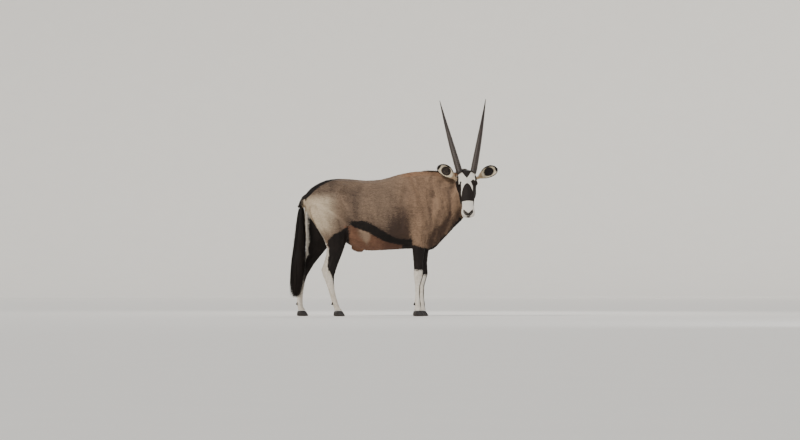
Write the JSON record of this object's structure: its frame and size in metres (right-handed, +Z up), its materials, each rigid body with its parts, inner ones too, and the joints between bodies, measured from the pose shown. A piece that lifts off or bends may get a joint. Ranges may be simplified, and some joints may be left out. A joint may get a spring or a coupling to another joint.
{
  "type": "gemsbok",
  "caption": "Life-size standing gemsbok, a still antelope model with long ringed horns, its head turned to one side.",
  "frame": {"origin": "the middle of the floor under the whole animal: the centre of the bounding box's base", "axes": "+X towards the chest, +Y to the animal's left, +Z up; the head looks along -Y"},
  "size_m": [1.6974, 0.6576, 1.8276],
  "materials": {
    "coat": "short grey-brown hair",
    "pale_coat": "short white hair",
    "dark_coat": "short black hair",
    "dark_hair": "long coarse black hair",
    "horn": "ringed dark horn, worn smooth at the tips",
    "hoof": "dark hoof horn",
    "eye": "wet, very dark brown"
  },
  "bodies": {
    "root": {"eye_right": "eye", "eye_left": "eye", "horn_right": "horn", "horn_left": "horn", "claw_front_right_outer": "hoof", "claw_front_right_inner": "hoof", "claw_front_left_outer": "hoof", "claw_front_left_inner": "hoof", "claw_hind_right_outer": "hoof", "claw_hind_right_inner": "hoof", "claw_hind_left_outer": "hoof", "claw_hind_left_inner": "hoof", "tail": "dark_hair", "leg_front_right": "dark_coat", "leg_front_left": "dark_coat", "leg_hind_right": "pale_coat", "leg_hind_left": "pale_coat", "torso": "coat", "ear_right": "pale_coat", "ear_left": "pale_coat", "head": "pale_coat", "neck": "coat", "mane": "dark_hair"}
  },
  "joints": []
}
